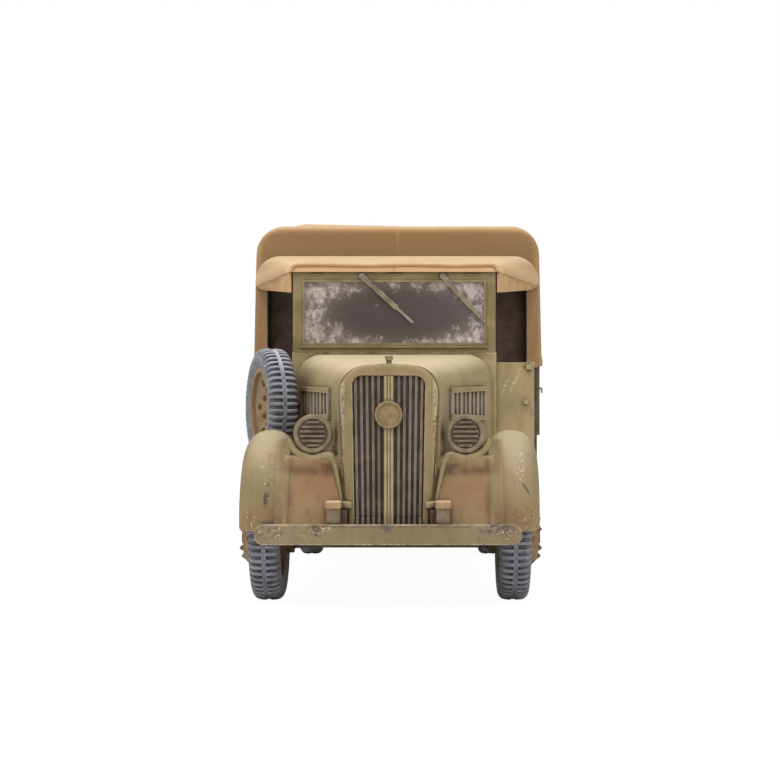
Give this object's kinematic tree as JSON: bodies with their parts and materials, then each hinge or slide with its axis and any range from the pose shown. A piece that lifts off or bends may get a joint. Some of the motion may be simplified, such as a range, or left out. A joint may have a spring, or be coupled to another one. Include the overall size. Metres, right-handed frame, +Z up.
{
  "type": "scale model of a soft-top military cargo truck",
  "caption": "Painted scale model of a late-1930s light military cargo truck with canvas hood and tilt, spare wheel beside the bonnet and free-turning wheels.",
  "frame": {"origin": "on the ground under the middle of the model", "axes": "-Y towards the front, +X towards the vehicle's left, +Z up"},
  "size_m": [0.04, 0.094, 0.049],
  "materials": {
    "sand_paint": "flat sand-olive model paint, chipped and dusted",
    "wheel_paint": "flat sand paint with rust-brown wash",
    "grille_wash": "flat dark brown-grey wash over sand paint",
    "chassis_wash": "flat dark brown paint",
    "canvas": "flat light buff paint on moulded canvas",
    "cargo_wash": "flat dark brown paint",
    "seat_paint": "flat leather-brown paint",
    "clear_plastic": "clear plastic, dusty and frosted towards its edges",
    "wiper_plastic": "translucent plastic with thin paint",
    "lamp_red": "clear red varnish",
    "tyre": "flat dark grey, dry-brushed lighter on the lugs"
  },
  "bodies": {
    "chassis": {"bonnet": "sand_paint", "cab_back": "sand_paint", "cab_floor": "cargo_wash", "cab_hood": "canvas", "cab_side_left": "sand_paint", "cab_side_right": "sand_paint", "cargo_floor": "cargo_wash", "cargo_headboard": "cargo_wash", "cargo_side_left": "cargo_wash", "cargo_side_right": "cargo_wash", "chassis_frame": "chassis_wash", "dashboard": "sand_paint", "drive_shaft": "chassis_wash", "engine_gearbox": "chassis_wash", "exhaust": "chassis_wash", "front_axle": "chassis_wash", "front_bumper": "sand_paint", "front_mudguard_left": "sand_paint", "front_mudguard_right": "sand_paint", "front_springs": "chassis_wash", "fuel_tank": "sand_paint", "gear_levers": "cargo_wash", "headlight_covers": "grille_wash", "headlight_left": "sand_paint", "headlight_right": "sand_paint", "radiator_grille": "grille_wash", "radiator_shell": "sand_paint", "rear_axle": "chassis_wash", "rear_mudguards": "sand_paint", "rear_springs": "chassis_wash", "running_boards": "sand_paint", "scuttle": "sand_paint", "seats": "seat_paint", "spare_carrier": "chassis_wash", "spare_tyre": "tyre", "spare_wheel": "wheel_paint", "steering_knuckles": "chassis_wash", "steering_wheel": "cargo_wash", "tail_lamp": "lamp_red", "tailboard": "cargo_wash", "tilt": "canvas", "tilt_hoops": "cargo_wash", "tool_box": "sand_paint", "tow_jaw": "chassis_wash", "track_rod": "chassis_wash", "windscreen_frame": "sand_paint", "windscreen_glass": "clear_plastic", "wipers": "wiper_plastic"},
    "wheel_front_left_body": {"tyre_front_left": "tyre", "wheel_front_left": "wheel_paint"},
    "wheel_front_right_body": {"tyre_front_right": "tyre", "wheel_front_right": "wheel_paint"},
    "wheel_rear_left_body": {"tyre_rear_left": "tyre", "wheel_rear_left": "wheel_paint"},
    "wheel_rear_right_body": {"tyre_rear_right": "tyre", "wheel_rear_right": "wheel_paint"}
  },
  "joints": [
    {"name": "wheel_front_left_spin", "type": "hinge", "parent": "chassis", "child": "wheel_front_left_body", "pos_m": [0.0137, -0.033, 0.00705], "axis": [1, 0, 0], "continuous": true},
    {"name": "wheel_front_right_spin", "type": "hinge", "parent": "chassis", "child": "wheel_front_right_body", "pos_m": [-0.0137, -0.033, 0.00705], "axis": [1, 0, 0], "continuous": true},
    {"name": "wheel_rear_left_spin", "type": "hinge", "parent": "chassis", "child": "wheel_rear_left_body", "pos_m": [0.0137, 0.0278, 0.00705], "axis": [1, 0, 0], "continuous": true},
    {"name": "wheel_rear_right_spin", "type": "hinge", "parent": "chassis", "child": "wheel_rear_right_body", "pos_m": [-0.0137, 0.0278, 0.00705], "axis": [1, 0, 0], "continuous": true}
  ]
}
